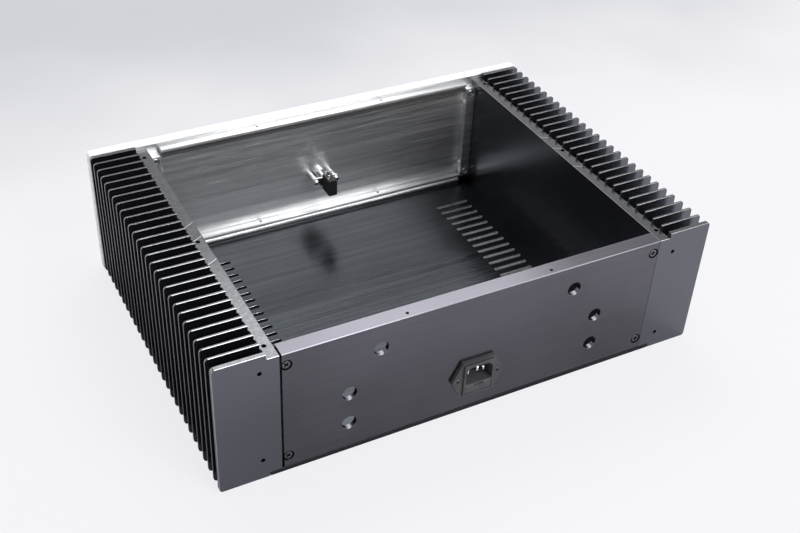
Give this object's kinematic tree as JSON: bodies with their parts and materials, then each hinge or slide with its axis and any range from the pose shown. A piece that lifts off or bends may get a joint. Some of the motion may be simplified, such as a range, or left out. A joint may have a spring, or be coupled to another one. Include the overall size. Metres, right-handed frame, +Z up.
{
  "type": "amplifier chassis",
  "caption": "Open-topped aluminium amplifier chassis with finned side heatsinks, a thick front panel, a drilled rear panel with mains inlet, a slotted base and a push switch.",
  "frame": {"origin": "middle of the bounding box's underside", "axes": "the front panel faces -Y, the rear panel +Y, +X is to the right seen from the front, +Z is up"},
  "size_m": [0.43, 0.3174, 0.12],
  "materials": {
    "black_heatsink": "black anodised, milled ends",
    "silver_aluminium": "brushed and anodised",
    "black_panel": "black anodised, brushed along the width",
    "black_screw_steel": "blackened",
    "plated_steel": "zinc plated",
    "black_plastic": "satin moulded",
    "white_plastic": "satin moulded",
    "plated_brass": "nickel plated",
    "fuse_glass": "clear"
  },
  "bodies": {
    "chassis": {"heatsink_right": "black_heatsink", "heatsink_left": "black_heatsink", "front_panel": "silver_aluminium", "front_rail_top": "silver_aluminium", "front_rail_bottom": "silver_aluminium", "front_post_right": "silver_aluminium", "front_post_left": "silver_aluminium", "rear_post_right": "silver_aluminium", "rear_post_left": "silver_aluminium", "front_post_screws": "plated_steel", "post_side_screws": "plated_steel", "rear_panel": "black_panel", "rear_panel_screws": "black_screw_steel", "bottom_plate": "black_panel", "bottom_plate_screws": "black_screw_steel", "inlet_housing": "black_plastic", "inlet_pins": "plated_brass", "inlet_fuse_contacts": "plated_brass", "inlet_screws": "black_screw_steel", "inlet_nuts": "plated_steel", "button_bush": "plated_steel", "switch_pillars": "silver_aluminium", "switch_bracket": "plated_steel", "switch_screws": "plated_steel", "switch_body": "black_plastic", "switch_lugs": "plated_brass"},
    "power_button": {"power_button": "silver_aluminium", "switch_plunger": "white_plastic"},
    "fuse_drawer": {"fuse_drawer": "black_plastic", "fuse_tubes": "fuse_glass", "fuse_caps": "plated_brass"}
  },
  "joints": [
    {"name": "button_push", "type": "slide", "parent": "chassis", "child": "power_button", "axis": [0, 1, 0], "range_m": [0, 0.003], "stiffness_N_per_m": 400, "springref_m": -0.001},
    {"name": "fuse_drawer_slide", "type": "slide", "parent": "chassis", "child": "fuse_drawer", "axis": [0, 1, 0], "range_m": [0, 0.02]}
  ]
}
